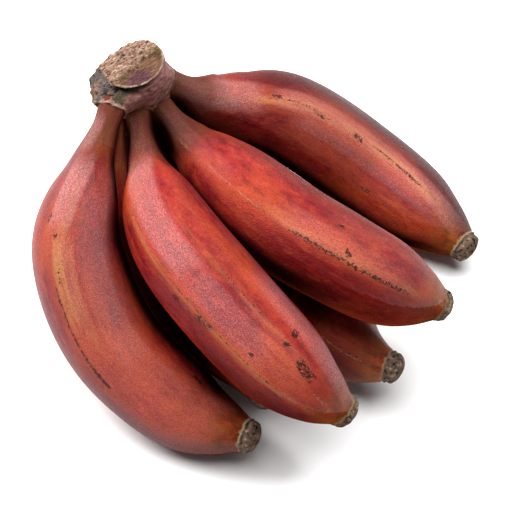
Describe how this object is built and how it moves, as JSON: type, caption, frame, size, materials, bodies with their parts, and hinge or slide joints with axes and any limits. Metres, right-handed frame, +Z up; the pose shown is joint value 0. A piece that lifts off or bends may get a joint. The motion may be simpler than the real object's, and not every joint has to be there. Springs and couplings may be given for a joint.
{
  "type": "hand of red bananas",
  "caption": "Hand of red bananas lying on its fingers: plump curved fruits in an upper and a lower row, joined at the cut crown of their stalk.",
  "frame": {"origin": "on the surface that the hand lies on, under the middle of the hand's box", "axes": "+Z up from the surface, +X along the hand's longest side, with the crown at -X +Y and the blossom ends towards +X -Y"},
  "size_m": [0.1946, 0.1774, 0.1081],
  "materials": {
    "red_skin": "satin",
    "crown_bark": "matte"
  },
  "bodies": {
    "root": {"crown": "crown_bark", "upper_finger_1": "red_skin", "upper_finger_2": "red_skin", "upper_finger_3": "red_skin", "upper_finger_4": "red_skin", "lower_finger_1": "red_skin", "lower_finger_2": "red_skin"}
  },
  "joints": []
}
